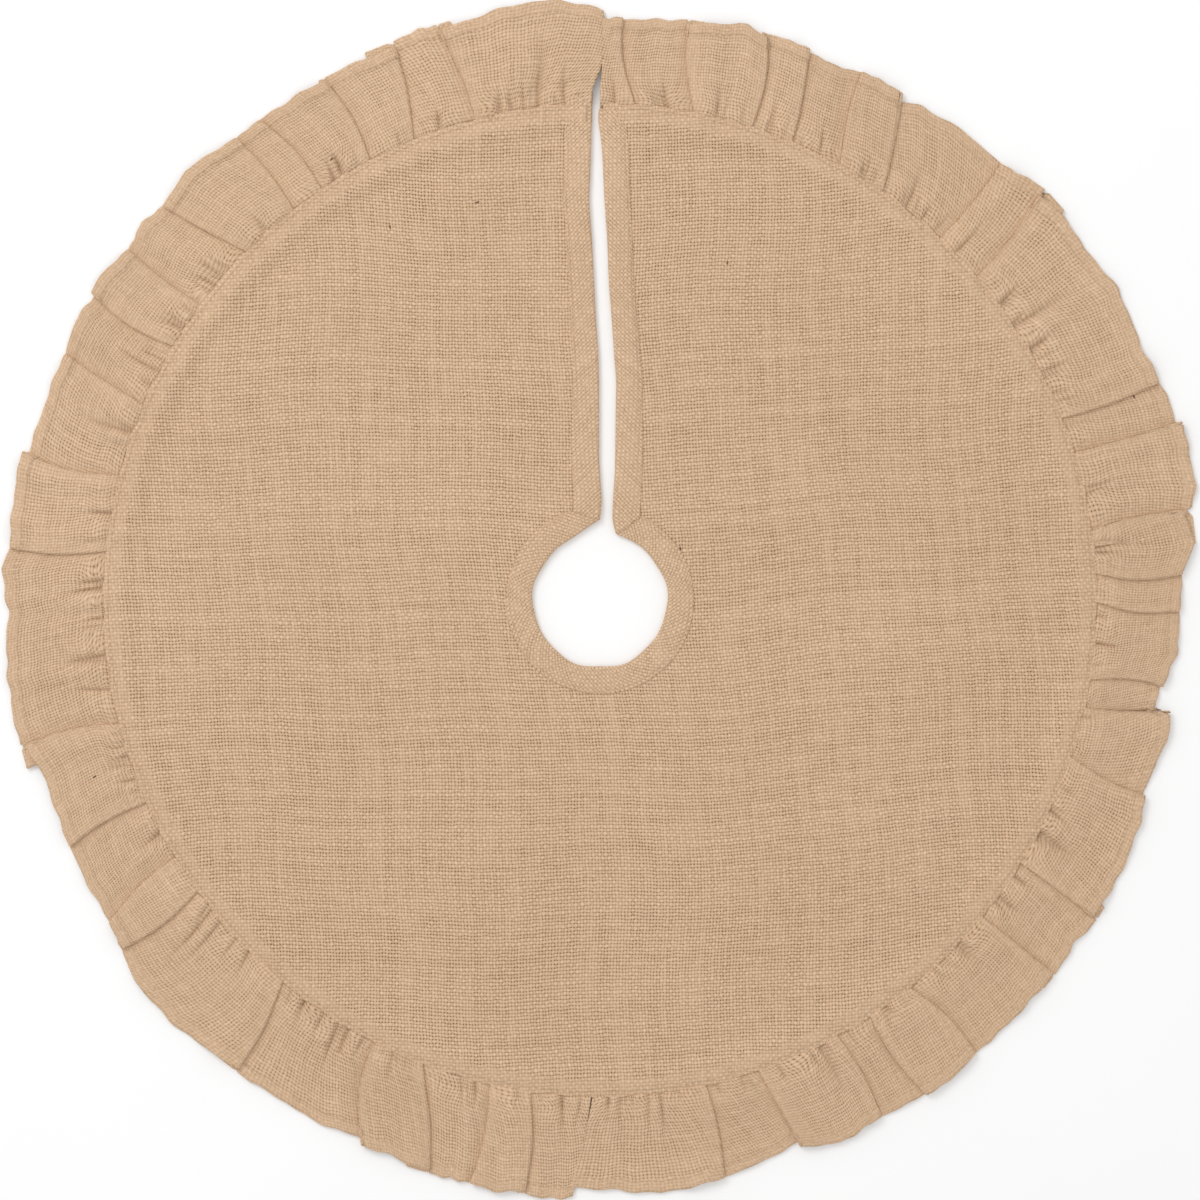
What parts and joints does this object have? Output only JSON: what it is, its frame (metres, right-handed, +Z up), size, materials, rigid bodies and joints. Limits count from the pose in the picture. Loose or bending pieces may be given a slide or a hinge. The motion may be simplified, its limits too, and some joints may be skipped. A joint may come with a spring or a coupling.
{
  "type": "tree skirt",
  "caption": "Round burlap tree skirt lying flat, with a bound trunk hole and slit, a gathered ruffle edge, and flaps beside the slit that fold back.",
  "frame": {"origin": "centre of the trunk hole, on the surface that the skirt lies on", "axes": "+Z up out of the surface, through the trunk hole; +Y from the hole along the slit; +X to the right with the slit away from the viewer"},
  "size_m": [0.5344, 0.5355, 0.0055],
  "materials": {
    "burlap_panel": "natural tan burlap, plain weave on the straight grain, matt",
    "burlap_ruffle": "natural tan burlap, plain weave, pleated, matt",
    "burlap_binding": "natural tan burlap cut on the bias, folded, matt",
    "sewing_thread": "twisted cotton thread, tan, low sheen",
    "overlock_thread": "spun thread, light tan, matt"
  },
  "bodies": {
    "rear_half": {"rear_panel": "burlap_panel", "rear_hole_binding": "burlap_binding", "rear_left_ruffle": "burlap_ruffle", "rear_right_ruffle": "burlap_ruffle", "ruffle_join_thread": "sewing_thread", "rear_binding_thread": "sewing_thread", "rear_seam_thread": "sewing_thread", "rear_gathering_thread": "sewing_thread", "rear_overlock_thread": "overlock_thread", "rear_left_hem_thread": "sewing_thread", "rear_right_hem_thread": "sewing_thread"},
    "left_flap": {"left_panel": "burlap_panel", "left_hole_binding": "burlap_binding", "left_slit_binding": "burlap_binding", "left_ruffle": "burlap_ruffle", "left_binding_thread": "sewing_thread", "left_seam_thread": "sewing_thread", "left_gathering_thread": "sewing_thread", "left_overlock_thread": "overlock_thread", "left_hem_thread": "sewing_thread"},
    "right_flap": {"right_panel": "burlap_panel", "right_hole_binding": "burlap_binding", "right_slit_binding": "burlap_binding", "right_ruffle": "burlap_ruffle", "right_binding_thread": "sewing_thread", "right_seam_thread": "sewing_thread", "right_gathering_thread": "sewing_thread", "right_overlock_thread": "overlock_thread", "right_hem_thread": "sewing_thread"}
  },
  "joints": [
    {"name": "left_flap_fold", "type": "hinge", "parent": "rear_half", "child": "left_flap", "pos_m": [-0.15, 0, 0.00575], "axis": [1, 0, 0], "range_deg": [0, 180]},
    {"name": "right_flap_fold", "type": "hinge", "parent": "rear_half", "child": "right_flap", "pos_m": [0.15, 0, 0.00575], "axis": [1, 0, 0], "range_deg": [0, 180]}
  ]
}
